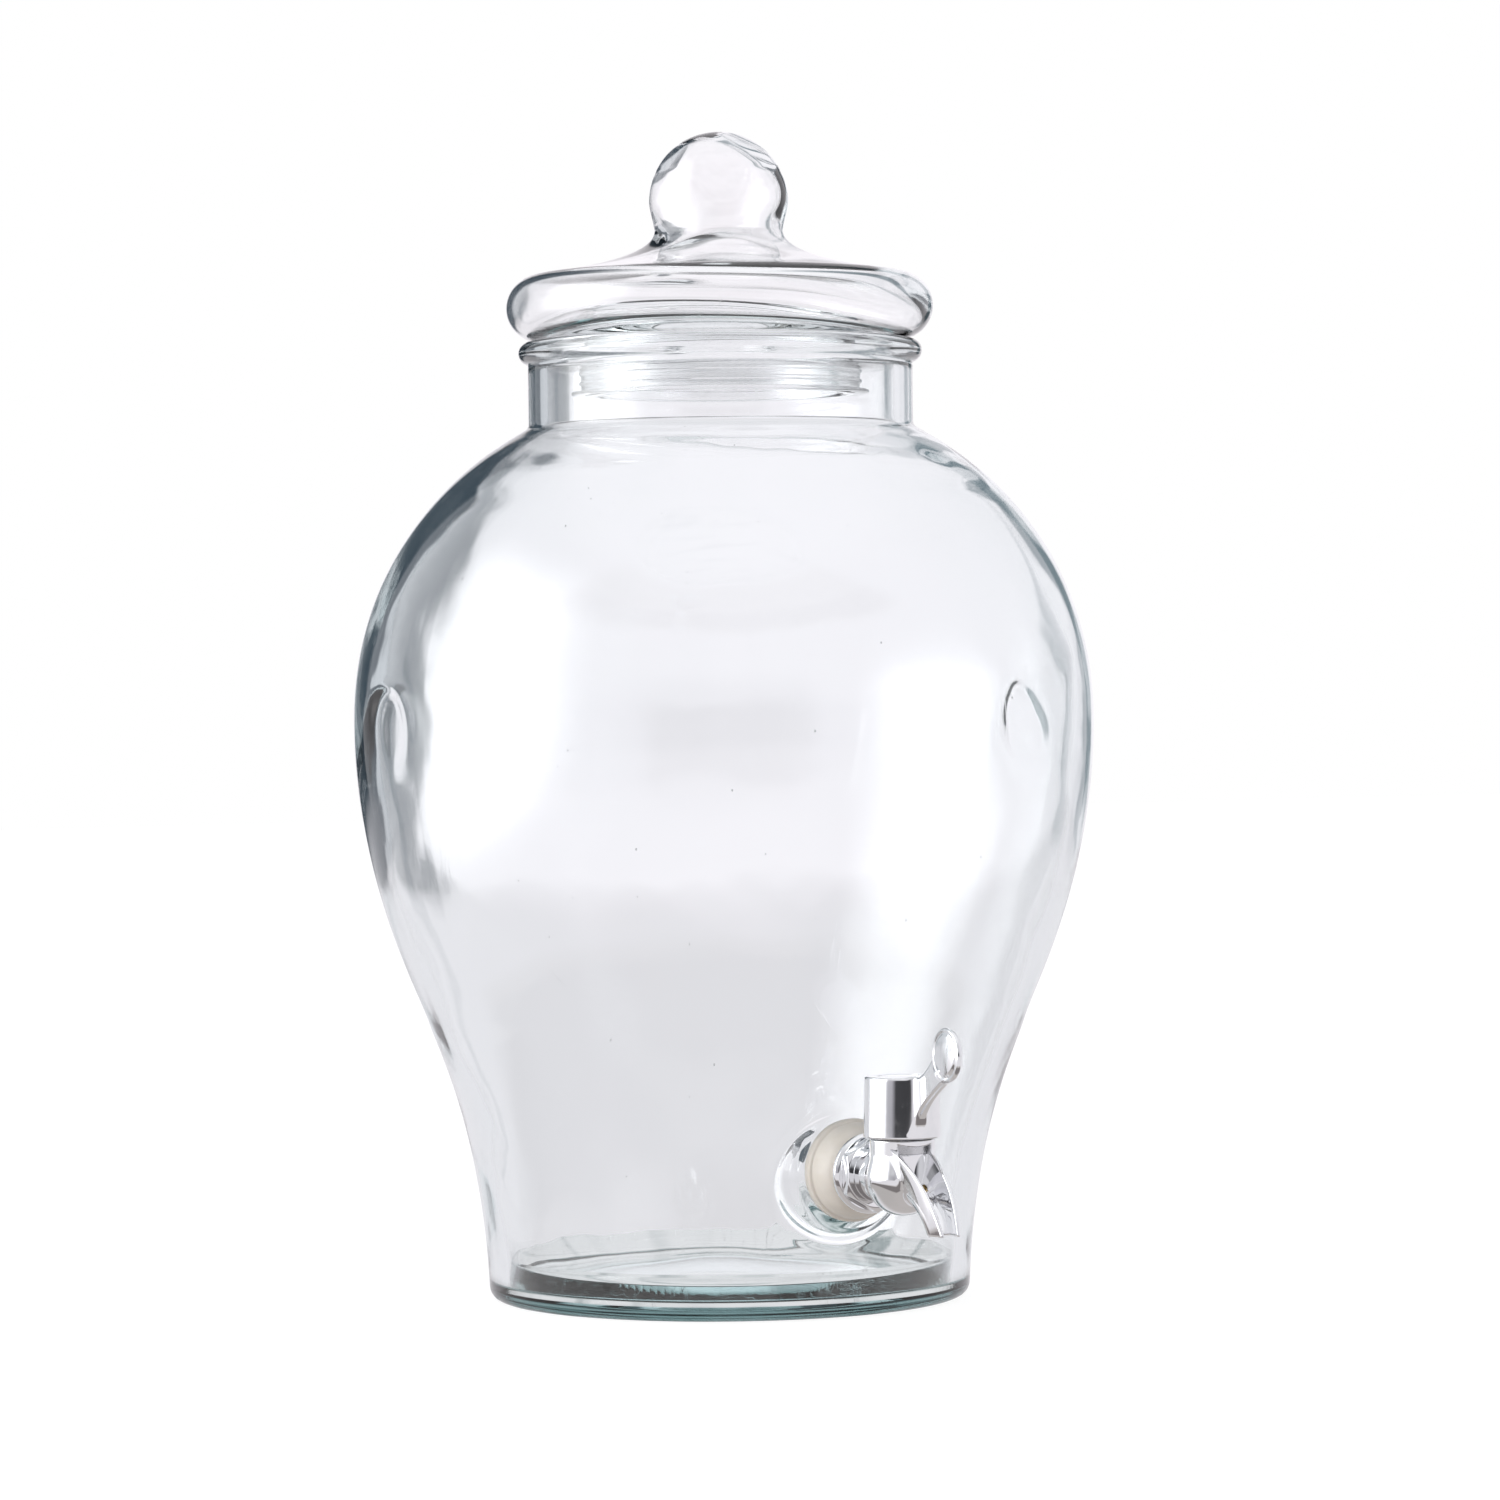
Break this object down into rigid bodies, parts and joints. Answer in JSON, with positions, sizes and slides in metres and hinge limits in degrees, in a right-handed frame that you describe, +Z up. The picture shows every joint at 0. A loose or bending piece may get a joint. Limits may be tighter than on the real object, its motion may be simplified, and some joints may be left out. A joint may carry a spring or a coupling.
{
  "type": "beverage dispenser",
  "caption": "Glass ginger-jar beverage dispenser with a domed ball-knob glass lid and a chrome quarter-turn lever tap with an open-channel spout",
  "frame": {"origin": "On the jar's vertical axis, in the flat plane that the jar stands on", "axes": "+Z up through the jar, neck and lid knob; the tap points along -Y; the two finger grips face +X and -X"},
  "size_m": [0.2792, 0.327, 0.4419],
  "materials": {
    "glass": "thick clear glass with a faint blue-green tint, small bubbles and a gently rippled surface",
    "chrome": "polished chrome plating with a few fine scratches",
    "silicone": "satin cream silicone",
    "clear_plastic": "clear soft plastic",
    "black_rubber": "black rubber",
    "brass": "turned brass",
    "steel": "turned and pressed stainless steel",
    "white_plastic": "white sealing plastic"
  },
  "bodies": {
    "jar": {"jar": "glass", "tap_body": "chrome", "outer_washer": "chrome", "outer_nut": "chrome", "outer_gasket": "silicone", "inner_gasket": "silicone", "inner_washer": "steel", "inner_nut": "steel", "inlet_seal": "white_plastic", "gland_ring": "steel", "glide_washer": "black_rubber"},
    "lever": {"handle": "chrome", "handle_screw": "steel", "screw_washer": "steel", "handle_cap": "chrome", "valve_core": "brass", "core_ring_upper": "black_rubber", "core_ring_lower": "black_rubber", "stem_ring": "black_rubber"},
    "lid": {"lid": "glass", "lid_seal": "clear_plastic"}
  },
  "joints": [
    {"name": "handle_turn", "type": "hinge", "parent": "jar", "child": "lever", "pos_m": [0, -0.1412, 0.0703], "axis": [0, 0, 1], "range_deg": [0, 90]},
    {"name": "lid_lift", "type": "slide", "parent": "jar", "child": "lid", "axis": [0, 0, 1], "range_m": [0, 0.1]}
  ]
}
